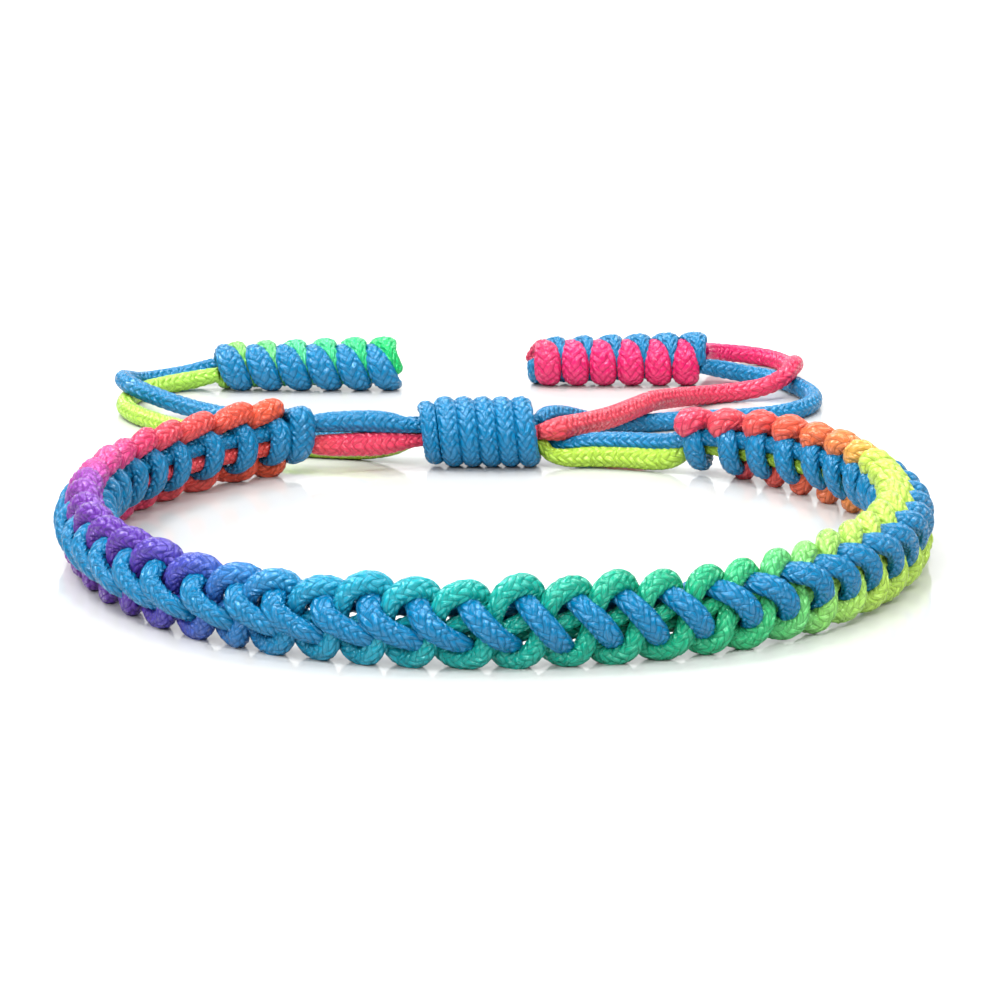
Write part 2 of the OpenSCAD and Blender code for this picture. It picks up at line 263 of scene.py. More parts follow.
TAIL_LEFT_BLUE = [
    (-8.4, 27.8, 2.90), (-10.5, 30.0, 2.20), (-13.6, 33.4, 1.20), (-17.2, 36.8, 0.75),
    (-21.2, 39.8, 0.75), (-24.2, 41.8, 0.80), (-27.0, 43.4, 1.15), (-29.4, 44.5, 1.75),
    (-31.2, 46.0, 2.20), (-32.1, 48.3, 2.25), (-32.0, 51.1, 1.65), (-31.1, 53.8, 0.95),
    (-29.4, 55.8, 0.75), (-27.1, 56.7, 1.00), (-25.3, 56.6, 1.50),
]
TAIL_LEFT_LIME = [
    (-8.4, 27.4, 1.45), (-10.4, 28.1, 0.90), (-12.8, 28.7, 0.75), (-15.6, 29.4, 0.75),
    (-18.8, 30.6, 0.75), (-22.2, 32.6, 0.75), (-25.4, 35.3, 0.75), (-28.2, 38.3, 0.75),
    (-30.4, 41.3, 0.75), (-31.6, 44.4, 0.75), (-31.6, 47.7, 0.75), (-30.6, 50.8, 0.75),
    (-28.9, 53.0, 0.75), (-26.8, 54.0, 0.95),
]

# Core cords lie at other depths behind other shapes. Columns: knot number, outwards, and
# a factor for the height off the middle.
CORE_BLUE_DEPTHS = [(6, -0.5, 1.0), (10, -0.7, 1.0), (32, -0.7, 1.0), (38, -0.5, 1.0)]
CORE_RAINBOW_DEPTHS = [(6, -0.5, 1.0), (10, 0.1, 1.5), (32, 0.1, 1.5), (38, -0.5, 1.0)]

# Sliding knot. The cords that it holds run from its left face to its right at a radius from its
# axis, and turn by an angle on the way, in degrees.
HELD_FROM_X = -6.6
HELD_TO_X = 3.0
HELD_RADIUS = 0.8
HELD_TURN = 54.0
HELD_THICKNESS = 1.06
SLIDER_Y = 26.2
FIRST_FRONT_X = -5.5
# Columns: angle along the winding, size of the cord, which is pulled thin where it starts.
SLIDER_SIZES = [(60, 0.74), (200, 0.80), (400, 1.00)]
# Width of a turn against the distance between turns
SLIDER_WIDTH = 1.12

# Stopper knots. Columns: x of the front coil's first top, y of the axis, distance between turns,
# how far the back coil is ahead of the front one in turns, and how far the top of a turn is drawn
# along the knot, in turns.
RIGHT_STOP = (3.55, 56.8, 2.4, 0.5, 0.14)
LEFT_STOP = (-23.7, 54.8, 2.56, 0.42, -0.06)
# The back coil starts nearly straight behind the front one, and leans over it along the knot, in
# degrees. A front turn is squeezed widest at a part of that angle.
LEAN_START = 5
LEAN_GROWTH = 52
FRONT_LEAN = 0.4
# The lowest turns are pressed a little into the surface, as soft cord is.
PRESSED = 0.94
# Degrees from one row of a winding to the next
TURN_STEP = 20
# Thickness of a loose end inside its stopper knot, and how many of its first rows are swollen
TAIL_END_THICKNESS = 1.2
SWOLLEN_ROWS = 9

# Cord that is pulled and squeezed by hand has no even braid. Columns: how far the braid is
# shifted, in turns of a yarn, waves in a turn of a yarn, and where they start.
BRAID_WAVES = [(0.022, 2.3, 0.0), (0.018, 5.1, 1.0)]
# The shift goes round the cord too, by this many radians in a turn of a yarn.
BRAID_TWIST = 3.7

# Colours along a cord. Columns: place from 0 to 1, colour.
RAINBOW = [
    (0.00, "#FF6A3C"), (0.05, "#FD5A45"), (0.085, "#F9505A"), (0.11, "#FA3F6C"), (0.14, "#F4458F"),
    (0.17, "#E84BA0"), (0.195, "#A03FB5"), (0.24, "#7C36B0"), (0.31, "#5E35B0"), (0.345, "#4A50C0"),
    (0.37, "#2C80CB"), (0.40, "#1596C8"), (0.435, "#18AECB"), (0.47, "#12B6AE"), (0.53, "#0FB594"),
    (0.58, "#1DBB86"), (0.615, "#38C97E"), (0.64, "#74DC78"), (0.665, "#A8E96C"), (0.70, "#C4F060"),
    (0.845, "#CFF25C"), (0.865, "#F6B850"), (0.885, "#FB9050"), (0.92, "#FD7048"), (0.96, "#FA5658"),
    (1.00, "#F84A6C"),
]
CORE_RAINBOW = [
    (0.00, "#FA4264"), (0.08, "#FA4264"), (0.11, "#FA5040"), (0.20, "#F8506A"), (0.25, "#7C36B0"),
    (0.38, "#1580A8"), (0.50, "#0E9A80"), (0.62, "#20A868"), (0.68, "#B0E050"), (1.00, "#C2EE48"),
]
RED_TAIL = [(0.00, "#FB5060"), (0.45, "#FC3F62"), (0.75, "#FD2C6C"), (1.00, "#F9207C")]
LIME_TAIL = [(0.00, "#C2F04E"), (0.60, "#BDF052"), (1.00, "#B2F056")]
PINK_STOP = [(0.00, "#E0335A"), (0.12, "#F82878"), (1.00, "#FA2372")]
GREEN_STOP = [(0.00, "#B4F258"), (0.15, "#8CF07A"), (0.45, "#58E8A0"), (0.75, "#34DE8C"), (1.00, "#18D874")]
DYES = {
    "rainbow": RAINBOW,
    "core_rainbow": CORE_RAINBOW,
    "red": RED_TAIL,
    "lime": LIME_TAIL,
    "pink": PINK_STOP,
    "green": GREEN_STOP,
}

# Columns of a cord's rows, after the three of the place
THICKNESS = 3
WIDTH = 4
FACING = slice(5, 8)
TONE = 8


# Settings


class BraceletCord(PropertyGroup):
    """The braided cord itself."""

    free: FloatProperty(name="Free cord", description="Thickness of a cord that lies loose",
                        default=1.5 * MM, unit="LENGTH")
    carriers: IntProperty(name="Carriers", description="Yarns of the braid that wind each way", default=8)
    free_lead: FloatProperty(name="Loose braid",
                             description="Length in which a yarn winds once round a loose cord",
                             default=6.0 * MM, unit="LENGTH")
    tight_lead: FloatProperty(name="Tight braid",
                              description="Length in which a yarn winds once round a cord in a knot",
                              default=5.2 * MM, unit="LENGTH")
    relief: FloatProperty(name="Relief", description="Height of a yarn over the gaps beside it",
                          default=0.10 * MM, unit="LENGTH")
    sides: IntProperty(name="Sides", description="Points round a cord", default=24)


class BraceletBand(PropertyGroup):
    """The knotted band."""

    knots: IntProperty(name="Knots", description="Knots in the band", default=46)
    middle: FloatProperty(name="Middle", description="Height of the band's middle",
                          default=3.2 * MM, unit="LENGTH")
    wrap_thick: FloatProperty(name="Wrap thickness", description="Thickness of the wrapping cord",
                              default=1.15 * MM, unit="LENGTH")
    wrap_wide: FloatProperty(name="Wrap width", description="Width of the wrapping cord",
                             default=1.55 * MM, unit="LENGTH")
    edge: FloatProperty(name="Edge cord", description="Thickness of the edge cord",
                        default=1.35 * MM, unit="LENGTH")
    core: FloatProperty(name="Core cord", description="Thickness of a core cord",
                        default=1.3 * MM, unit="LENGTH")
    core_rise: FloatProperty(name="Core rise", description="Height of a core cord off the middle",
                             default=0.6 * MM, unit="LENGTH")


class BraceletKnots(PropertyGroup):
    """The sliding knot and the stopper knots."""

    slider_turns: IntProperty(name="Slider turns", description="Turns of the sliding knot", default=6)
    slider_pitch: FloatProperty(name="Slider pitch", description="From one turn to the next",
                                default=1.51 * MM, unit="LENGTH")
    slider_radius: FloatProperty(name="Slider radius", description="Radius at the middle of the cord",
                                 default=2.12 * MM, unit="LENGTH")
    slider_cord: FloatProperty(name="Slider cord", description="Thickness of the cord in the sliding knot",
                               default=1.4 * MM, unit="LENGTH")
    stop_turns: IntProperty(name="Stopper turns", description="Turns of each cord in a stopper knot",
                            default=6)
    stop_radius: FloatProperty(name="Stopper radius", description="Radius at the middle of the cord",
                               default=1.45 * MM, unit="LENGTH")
    stop_gap: FloatProperty(name="Stopper gap", description="Between the axes of the two coils",
                            default=0.7 * MM, unit="LENGTH")
    stop_cord: FloatProperty(name="Stopper cord", description="Thickness of the cord in a stopper knot",
                             default=1.15 * MM, unit="LENGTH")


class BraceletColours(PropertyGroup):
    """Colours that run the whole length of a cord."""

    blue: StringProperty(name="Blue", description="Colour of the blue cords, as a hex value",
                         default="#0086BE")
    floor: StringProperty(name="Floor", description="Colour of the floor, as a hex value",
                          default="#CCCCCA")


class BraceletStage(PropertyGroup):
    """Camera and lights."""

    camera_at: FloatVectorProperty(name="Camera", description="Place of the camera",
                                   default=(0.39 * MM, -283.52 * MM, 75.09 * MM), subtype="TRANSLATION")
    tilt: FloatProperty(name="Tilt", description="How far the camera looks down",
                        default=math.radians(14.04), subtype="ANGLE")
    lens: FloatProperty(name="Lens", description="Focal length in millimetres on a 36 mm sensor",
                        default=144.0)
    floor_reach: FloatProperty(name="Floor reach", description="Half the width of the floor",
                               default=3.0, unit="LENGTH")
    screen: FloatProperty(name="Screen", description="Brightness of the white screen behind", default=1.35)
    screen_edge: FloatVectorProperty(name="Screen edge", size=2, default=(0.7, 0.9),
                                     description="Part of a direction that is backwards, from where "
                                                 "the screen starts to where it is full")
    room: FloatProperty(name="Room", description="Brightness of the room", default=0.22)
    light: FloatProperty(name="Soft boxes", description="Strength of all the soft boxes together",
                         default=10.0)
    boxes: IntProperty(name="Boxes", description="Soft boxes in the two rings", default=12)
    low_ring: FloatProperty(name="Low ring", description="Angle of the low ring from straight above",
                            default=math.radians(56), subtype="ANGLE")
    high_ring: FloatProperty(name="High ring", description="Angle of the high ring from straight above",
                             default=math.radians(26), subtype="ANGLE")
    brightest: FloatProperty(name="Brightest side",
                             description="Direction of the brightest boxes, from the right over the back",
                             default=math.radians(215), subtype="ANGLE")
    contrast: FloatProperty(name="Contrast", description="How far the brightest boxes are over the mean",
                            default=0.5)
    spread: FloatProperty(name="Spread", description="Width of a soft box as the bracelet sees it",
                          default=math.radians(15), subtype="ANGLE")


# Curves


def smooth(rows, steps=10):
    """Rows on a smooth curve through the given rows, whose first three columns are the place."""
    rows = np.array(rows, float)
    ends = np.vstack([2 * rows[0] - rows[1], rows, 2 * rows[-1] - rows[-2]])
    gaps = np.linalg.norm(np.diff(ends[:, :3], axis=0), axis=1) ** 0.5 + 1e-9
    at = np.concatenate([[0], np.cumsum(gaps)])
    found = []
    for i in range(1, len(ends) - 2):
        t = at[i] + (at[i + 1] - at[i]) * np.linspace(0, 1, steps, endpoint=False)[:, None]
        t0, t1, t2, t3 = at[i - 1:i + 3]
        a, b, c, d = ends[i - 1:i + 3]
        ab = (t1 - t) / (t1 - t0) * a + (t - t0) / (t1 - t0) * b
        bc = (t2 - t) / (t2 - t1) * b + (t - t1) / (t2 - t1) * c
        cd = (t3 - t) / (t3 - t2) * c + (t - t2) / (t3 - t2) * d
        abc = (t2 - t) / (t2 - t0) * ab + (t - t0) / (t2 - t0) * bc
        bcd = (t3 - t) / (t3 - t1) * bc + (t - t1) / (t3 - t1) * cd
        found.append((t2 - t) / (t2 - t1) * abc + (t - t1) / (t2 - t1) * bcd)
    return np.vstack(found + [ends[-2:-1]])


def distances(rows):
    """Length travelled along a curve at each of its rows."""
    return np.concatenate([[0], np.cumsum(np.linalg.norm(np.diff(rows[:, :3], axis=0), axis=1))])


def evenly(rows, spacing):
    """The rows of a curve again, the same distance apart."""
    travelled = distances(rows)
    count = max(4, int(round(travelled[-1] / spacing)) + 1)
    wanted = np.linspace(0, travelled[-1], count)
    return np.column_stack([np.interp(wanted, travelled, column) for column in rows.T])


def units(vectors):
    """The same directions with a length of 1."""
    return vectors / np.linalg.norm(vectors, axis=1)[:, None]


def travel(points):
    """Directions of travel along a curve."""
    return units(np.gradient(points, axis=0))


def carried(along):
    """Side directions that turn as little as they can from ring to ring."""
    side = np.array([0.0, 0.0, 1.0]) if abs(along[0][2]) < 0.8 else np.array([1.0, 0.0, 0.0])
    found = []
    for direction in along:
        side = side - side.dot(direction) * direction
        side = side / np.linalg.norm(side)
        found.append(side)
    return np.array(found)


def yarn_height(turns, around, carriers):
    """Height of a two over, two under braid, from 0 in the gaps to 1 on the yarns, which are
    round across their width and level along most of their length."""
    first = carriers * (turns + around)
    second = carriers * (around - turns)
    crossing = np.mod(np.floor(first) + np.floor(second), 4)
    across_first = np.mod(first, 1)
    across_second = np.mod(second, 1)
    along_first = np.mod(np.floor(first) + second, 4) / 2
    along_second = (np.mod(first + np.floor(second), 4) - 2) / 2
    across = np.where(crossing < 2, across_first, across_second)
    along = np.clip(np.where(crossing < 2, along_first, along_second), 0, 1)
    return 4 * across * (1 - across) * np.minimum(1, 10 * along * (1 - along))


# Pieces


def braided_cord(node, rows, lead, material, rounded=False):
    """A braided cord in place of a plain solid, along rows of place, thickness, width, facing
    and tone, in millimetres. Its thickness lies the way that it faces, and where it faces no way
    it twists as little as it can. Its ends are flat or rounded."""
    name = node + "_braid"
    scene = bpy.context.scene
    cord = scene.bracelet_cord
    sides = cord.sides
    rows = evenly(rows, lead / MM / sides)
    rings = len(rows)
    places = rows[:, :3]
    along = travel(places)
    facing = rows[:, FACING]
    if facing.any():
        outward = units(facing - (facing * along).sum(axis=1)[:, None] * along)
    else:
        outward = carried(along)
    sideways = np.cross(along, outward)
    turns = np.arange(rings) / sides
    pulled = sum(size * np.sin(waves * turns * 2 * math.pi + start) for size, waves, start in BRAID_WAVES)

    def shifted(ring, around):
        """Turns of a yarn up to a place, on the uneven braid."""
        return turns[ring] + pulled[ring] * np.cos(2 * math.pi * around + BRAID_TWIST * turns[ring])

    shrink = np.ones(rings)
    if rounded:
        travelled = distances(rows)
        reach = rows[:, THICKNESS].mean() / 2
        for from_end in (travelled, travelled[-1] - travelled):
            share = np.clip(from_end / reach, 0, 1)
            shrink = shrink * np.sqrt(np.clip(1 - (1 - share) ** 2, 0.02, 1))

    mesh = bpy.data.meshes.new(name)
    bm = bmesh.new()
    bm.loops.layers.uv.new("braid")
    bmesh.ops.create_grid(bm, x_segments=rings - 1, y_segments=sides, size=1, calc_uvs=True)
    bm.to_mesh(mesh)
    bm.free()

    grid = np.empty(len(mesh.vertices) * 3)
    mesh.vertices.foreach_get("co", grid)
    grid = grid.reshape(-1, 3)
    ring = np.rint((grid[:, 0] + 1) / 2 * (rings - 1)).astype(int)
    around = np.mod(np.rint((grid[:, 1] + 1) / 2 * sides), sides) / sides
    turned = 2 * math.pi * around + math.pi
    raised = cord.relief / MM * (yarn_height(shifted(ring, around), around, cord.carriers) - 0.5)
    thick = (rows[ring, THICKNESS] / 2 + raised) * shrink[ring]
    wide = (rows[ring, WIDTH] / 2 + raised) * shrink[ring]
    shaped = (places[ring] + RING_AT
              + (thick * np.cos(turned))[:, None] * outward[ring]
              + (wide * np.sin(turned))[:, None] * sideways[ring]) * MM
    mesh.vertices.foreach_set("co", shaped.ravel())

    uv = np.empty(len(mesh.loops) * 2)
    mesh.uv_layers["braid"].data.foreach_get("uv", uv)
    uv = uv.reshape(-1, 2)
    ring_of = np.rint(uv[:, 0] * (rings - 1)).astype(int)
    uv[:, 0] = shifted(ring_of, uv[:, 1])
    mesh.uv_layers["braid"].data.foreach_set("uv", uv.ravel())
    tone = mesh.attributes.new("tone", "FLOAT", "POINT")
    tone.data.foreach_set("value", rows[ring, TONE].astype(np.float32))

    bm = bmesh.new()
    bm.from_mesh(mesh)
    bmesh.ops.remove_doubles(bm, verts=bm.verts, dist=1e-8)
    open_edges = [edge for edge in bm.edges if edge.is_boundary]
    bmesh.ops.holes_fill(bm, edges=open_edges, sides=0)
    bmesh.ops.recalc_face_normals(bm, faces=bm.faces)
    for face in bm.faces:
        face.smooth = True
    bm.to_mesh(mesh)
    bm.free()

    piece = bpy.data.objects.new(name, mesh)
    scene.collection.objects.link(piece)
    mesh.materials.append(material)
    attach(piece, "root")
    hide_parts(node)
    return piece


def round_cord(rows):
    """Rows of place and thickness get the same width, no facing, and a tone that grows from
    0 to 1 with the length."""
    rows = np.array(rows, float)
    travelled = distances(rows)
    return np.column_stack([rows, rows[:, THICKNESS], np.zeros((len(rows), 3)), travelled / travelled[-1]])


def in_band(rows, knots):
    """Rows in knots, outwards and upwards become places. A cord faces away from the band's
    middle, and its tone is its share of the way round."""
    rows = np.array(rows, float)
    ring = smooth(RING_ROWS, 8)
    angle, radius, tall, lean = [np.interp(rows[:, 0], ring[:, 0], column) for column in ring.T[1:]]
    angle = np.radians(angle)
    lean = np.radians(lean)
    out = rows[:, 1] * np.cos(lean) - rows[:, 2] * np.sin(lean)
    up = rows[:, 2] * np.cos(lean) + rows[:, 1] * np.sin(lean)
    radius = radius + out
    middle = bpy.context.scene.bracelet_band.middle / MM
    place = np.column_stack([radius * np.sin(angle), -radius * np.cos(angle), (middle + up) * tall])
    faces = units(np.column_stack([out * np.sin(angle), -out * np.cos(angle), up]) + 1e-9)
    return np.column_stack([place, rows[:, [THICKNESS, WIDTH]], faces, rows[:, 0] / knots])


def strayed(knot, far, speed, start):
    """How far a knot strays from the even pattern."""
    return far * math.sin(speed * knot + start)


def knot_rows(shapes, knot):
    """Rows of one knot, between the shapes of the knots beside it, strayed and pulled by hand."""
    marks = [mark for mark, _ in shapes]
    tables = np.array([table for _, table in shapes], float)
    share = np.interp(knot, marks, range(len(marks)))
    low = min(int(share), len(marks) - 2)
    rows = tables[low] + (share - low) * (tables[low + 1] - tables[low])
    rows[:, 0] += knot + strayed(knot, *STRAY_ALONG)
    rows[:, 2] += strayed(knot, *STRAY_UP)
    for pulled, shift, top in PULLED_KNOTS:
        if pulled == knot:
            rows[:, 0] += shift
            # The half under the band's middle stays where it is
            rows[:, 2] += top * np.clip(rows[:, 2] / ARCH_TOP, 0, 1)
    return rows


# Materials


def linear(colour):
    """An sRGB hex colour as the linear colour that a shader takes."""
    values = [int(colour[i:i + 2], 16) / 255 for i in (1, 3, 5)]
    return [v / 12.92 if v <= 0.04045 else ((v + 0.055) / 1.055) ** 2.4 for v in values] + [1.0]


def add(tree, kind, inputs=(), **settings):
    """A node with its settings. An input, by its number or name, takes a value, another node's
    socket, or another node, which stands for its first output."""
    node = tree.nodes.new("ShaderNode" + kind)
    for name, value in settings.items():
        setattr(node, name, value)
    for key, value in dict(inputs).items():
        if isinstance(value, bpy.types.Node):
            value = value.outputs[0]
        if isinstance(value, bpy.types.NodeSocket):
            tree.links.new(value, node.inputs[key])
        else:
            node.inputs[key].default_value = value
    return node


def crown(tree, place):
    """A round rise from 0 to 1 and back, as a place goes from 0 to 1, and 0 beyond."""
    rest = add(tree, "Math", {0: 1.0, 1: place}, operation="SUBTRACT")
    bulge = add(tree, "Math", {0: place, 1: rest}, operation="MULTIPLY")
    full = add(tree, "Math", {0: bulge, 1: 4.0}, operation="MULTIPLY")
    return add(tree, "Math", {0: full, 1: 0.0}, operation="MAXIMUM")


def braid(tree, carriers):
    """The two over, two under braid on the cord's own map: the places across and along the yarn
    on top, from 0 to 1, and a number of its own for each crossing. The first yarns wind one way,
    the second ones the other way."""
    uv = add(tree, "UVMap", uv_map="braid")
    split = add(tree, "SeparateXYZ", {0: uv})
    turns, around = split.outputs[:2]
    total = add(tree, "Math", {0: turns, 1: around}, operation="ADD")
    first = add(tree, "Math", {0: total, 1: float(carriers)}, operation="MULTIPLY")
    difference = add(tree, "Math", {0: around, 1: turns}, operation="SUBTRACT")
    second = add(tree, "Math", {0: difference, 1: float(carriers)}, operation="MULTIPLY")
    first_number = add(tree, "Math", {0: first}, operation="FLOOR")
    second_number = add(tree, "Math", {0: second}, operation="FLOOR")
    numbers = add(tree, "Math", {0: first_number, 1: second_number}, operation="ADD")
    crossing = add(tree, "Math", {0: numbers, 1: 4.0}, operation="FLOORED_MODULO")
    first_on_top = add(tree, "Math", {0: crossing, 1: 1.5}, operation="LESS_THAN")

    first_across = add(tree, "Math", {0: first}, operation="FRACT")
    second_across = add(tree, "Math", {0: second}, operation="FRACT")
    across = add(tree, "Mix", {0: first_on_top, 2: second_across, 3: first_across}, data_type="FLOAT")

    # A yarn lies on top for two crossings, and then under two
    first_way = add(tree, "Math", {0: first_number, 1: second}, operation="ADD")
    first_way = add(tree, "Math", {0: first_way, 1: 4.0}, operation="FLOORED_MODULO")
    first_along = add(tree, "Math", {0: first_way, 1: 0.5}, operation="MULTIPLY")
    second_way = add(tree, "Math", {0: first, 1: second_number}, operation="ADD")
    second_way = add(tree, "Math", {0: second_way, 1: 4.0}, operation="FLOORED_MODULO")
    second_along = add(tree, "Math", {0: second_way, 1: 0.5, 2: -1.0}, operation="MULTIPLY_ADD")
    along = add(tree, "Mix", {0: first_on_top, 2: second_along, 3: first_along}, data_type="FLOAT")

    apart = add(tree, "Math", {0: second_number, 1: 5.3}, operation="MULTIPLY")
    own = add(tree, "Math", {0: first_number, 1: 3.7, 2: apart}, operation="MULTIPLY_ADD")
    return across, along, own


def braided_nylon(name, stops):
    """Braided nylon cord: filament yarns, heat set and shiny, dyed through.

    The crowned yarns catch small white glints. The gaps between them are dull, and painted shade darkens
    them and dims their reflections.
    The stops are the colours along the cord, or one colour for all of it."""
    material = bpy.data.materials.new(name)
    material.use_nodes = True
    tree = material.node_tree
    tree.nodes.clear()

    if len(stops) == 1:
        dye = add(tree, "RGB")
        dye.outputs[0].default_value = linear(stops[0][1])
    else:
        tone = add(tree, "Attribute", attribute_name="tone")
        dye = add(tree, "ValToRGB", {0: tone.outputs["Fac"]})
        for i, (place, value) in enumerate(stops):
            elements = dye.color_ramp.elements
            stop = elements[i] if i < 2 else elements.new(place)
            stop.position = place
            stop.color = linear(value)

    # A yarn is round across its width, and arches over the two that it crosses. The power rounds
    # the bottom of the gaps, which are no sharp cracks.
    across, along, own = braid(tree, bpy.context.scene.bracelet_cord.carriers)
    crowned = crown(tree, across)
    arched = crown(tree, along)
    hill = add(tree, "Math", {0: crowned, 1: arched}, operation="MULTIPLY")
    height = add(tree, "Math", {0: hill, 1: 1.5}, operation="POWER")
    # How far a place is from the gaps
    steep = add(tree, "Math", {0: arched, 1: 2.5}, operation="MULTIPLY")
    ends = add(tree, "Math", {0: steep, 1: 1.0}, operation="MINIMUM")
    clear = add(tree, "Math", {0: crowned, 1: ends}, operation="MULTIPLY")

    # Filaments lie along a yarn, which is about 0.46 mm wide. They are drawn as streaks of about
    # 0.05 mm, coarser than the real ones, and about as fine as the render can show.
    filament = add(tree, "Math", {0: across, 1: 9.0}, operation="MULTIPLY")
    piece = add(tree, "Math", {0: along, 1: 1.2}, operation="MULTIPLY")
    strand = add(tree, "CombineXYZ", {0: filament, 1: piece, 2: own})
    filaments = add(tree, "TexNoise", {"Vector": strand, "Scale": 1.0, "Detail": 1.0})
    # They take the dye a little differently from place to place, and painted shade darkens the gaps between
    # yarns
    dyed = add(tree, "MapRange", {0: filaments, 1: 0.3, 2: 0.7, 3: 0.55, 4: 0.94})
    # Painted shade: the colour falls to half in the gaps between yarns, where shade would fall
    gaps = add(tree, "MapRange", {0: clear, 1: 0.0, 2: 0.45, 3: 0.5, 4: 1.0})
    dye_and_painted_shade = add(tree, "Math", {0: dyed, 1: gaps}, operation="MULTIPLY")
    shaded = add(tree, "VectorMath", {0: dye, "Scale": dye_and_painted_shade}, operation="SCALE")

    # The filaments make a yarn's surface uneven
    rough = add(tree, "Math", {0: filaments, 1: 0.9, 2: 0.55}, operation="MULTIPLY_ADD")
    raised = add(tree, "Math", {0: height, 1: rough}, operation="MULTIPLY")
    bump = add(tree, "Bump", {"Strength": 1.0, "Distance": 0.13 * MM, "Height": raised})
    # Clear nylon over the dye colours its glints, and painted shade in the gaps between yarns dims their
    # reflections to half
    glint = add(tree, "Mix", {0: 0.35, 6: dye, 7: (1, 1, 1, 1)}, data_type="RGBA")
    tint = add(tree, "VectorMath", {0: glint.outputs[2], "Scale": gaps}, operation="SCALE")
    dull = add(tree, "MapRange", {0: clear, 1: 0.1, 2: 0.45, 3: 0.9, 4: 0.13})
    surface = add(tree, "BsdfPrincipled", {
        "Base Color": shaded,
        "Roughness": dull,
        "IOR": 1.6,
        "Specular IOR Level": 1.0,
        "Specular Tint": tint,
        "Normal": bump,
    })
    add(tree, "OutputMaterial", {0: surface})
    return material


def white_acrylic(colour):
    """White acrylic sheet, cast and polished: it mirrors faintly at a low angle."""
    material = bpy.data.materials.new("white_acrylic")
    material.use_nodes = True
    tree = material.node_tree
    tree.nodes.clear()
    surface = add(tree, "BsdfPrincipled", {"Base Color": linear(colour), "Roughness": 0.08, "IOR": 1.6})
    add(tree, "OutputMaterial", {0: surface})
    return material


# Operators


class BRACELET_OT_stage(Operator):
    """Camera, white floor and soft lights"""

    bl_idname = "bracelet.stage"
    bl_label = "Stage"

    def execute(self, context):
        scene = context.scene
        stage = scene.bracelet_stage
        camera = bpy.data.objects.new("camera", bpy.data.cameras.new("camera"))
        camera.data.lens = stage.lens
        camera.data.sensor_width = 36
        camera.data.clip_start = 0.01
        camera.location = stage.camera_at
        camera.rotation_euler = (math.pi / 2 - stage.tilt, 0, 0)
        scene.collection.objects.link(camera)
        scene.camera = camera

        bm = bmesh.new()
        bmesh.ops.create_grid(bm, x_segments=1, y_segments=1, size=stage.floor_reach)
        mesh = bpy.data.meshes.new("stage_floor")
        bm.to_mesh(mesh)
        bm.free()
        floor = bpy.data.objects.new("stage_floor", mesh)
        scene.collection.objects.link(floor)
        mesh.materials.append(white_acrylic(scene.bracelet_colours.floor))
        scene.view_settings.view_transform = "Standard"

        world = bpy.data.worlds.new("surroundings")
        world.use_nodes = True
        tree = world.node_tree
        coordinates = add(tree, "TexCoord")
        way = add(tree, "SeparateXYZ", {0: coordinates.outputs["Generated"]})
        # A white screen stands straight behind, and the rest of the room is dim
        start, full = stage.screen_edge
        behind = add(tree, "MapRange",
                     {0: way.outputs["Y"], 1: start, 2: full, 3: stage.room, 4: stage.screen})
        background = tree.nodes["Background"]
        background.inputs["Color"].default_value = (1, 1, 1, 1)
        tree.links.new(behind.outputs[0], background.inputs["Strength"])
        scene.world = world

        # Two rings of soft boxes, brightest in front on the left
        for number in range(stage.boxes):
            name = f"soft_box_{number}"
            around = 2 * math.pi * number / stage.boxes
            share = (1 + stage.contrast * math.cos(around - stage.brightest)) / stage.boxes
            light = bpy.data.objects.new(name, bpy.data.lights.new(name, "SUN"))
            light.data.angle = stage.spread
            light.data.energy = stage.light * share
            light.rotation_euler = (0, stage.high_ring if number % 2 else stage.low_ring, around)
            scene.collection.objects.link(light)
        return {"FINISHED"}


class BRACELET_OT_band(Operator):
    """Band: the wrapping cord and the edge cord of its knots"""

    bl_idname = "bracelet.band"
    bl_label = "Band"

    def execute(self, context):
        band = context.scene.bracelet_band
        knots = band.knots
        lead = context.scene.bracelet_cord.tight_lead
        wrap = [WRAP_START, *[knot_rows(WRAP_SHAPES, knot) for knot in range(knots)],
                knot_rows(WRAP_SHAPES, knots)[:3]]
        rows = in_band(np.vstack(wrap), knots)
        rows[:, THICKNESS] *= band.wrap_thick / MM
        rows[:, WIDTH] *= band.wrap_wide / MM
        braided_cord("wrap_cord", smooth(rows), lead, MATERIALS["blue"])

        edge = [knot_rows(EDGE_SHAPES, 1)[3:], *[knot_rows(EDGE_SHAPES, knot) for knot in range(2, knots)],
                knot_rows(EDGE_SHAPES, knots)[:9]]
        # The edge cord is round, so it is as wide as it is thick and faces no way
        rows = in_band(np.vstack(edge)[:, [0, 1, 2, THICKNESS, THICKNESS]], knots)
        rows[:, [THICKNESS, WIDTH]] *= band.edge / MM
        rows[:, FACING] = 0
        braided_cord("edge_cord", smooth(rows), lead, MATERIALS["rainbow"])
        return {"FINISHED"}


def slider_axis_z(knots):
    """Height of the sliding knot's axis, with the knot on the surface."""
    return (knots.slider_radius + knots.slider_cord / 2) / MM


def held(angle, knots):
    """Rows of a cord that the sliding knot holds, from its left face to its right."""
    z = slider_axis_z(knots)
    found = []
    for share in (0, 0.5, 1):
        turned = math.radians(angle - HELD_TURN * share)
        found.append((HELD_FROM_X + (HELD_TO_X - HELD_FROM_X) * share,
                      SLIDER_Y + HELD_RADIUS * math.cos(turned),
                      z + HELD_RADIUS * math.sin(turned), HELD_THICKNESS))
    return found


# Core cords. Columns: side of the band's middle, left and right taut stretch, angle of its first
# and its last passage through the sliding knot, depths in the band, finish and slot.
CORES = {
    "core_blue": (1, LEFT_TAUT_BLUE, RIGHT_TAUT_BLUE, 135, 45, CORE_BLUE_DEPTHS, "blue", "cord_blue"),
    "core_rainbow": (-1, LEFT_TAUT_PINK, RIGHT_TAUT_LIME, 225, 315, CORE_RAINBOW_DEPTHS, "core_rainbow",
                     "cord_rainbow_core"),
}


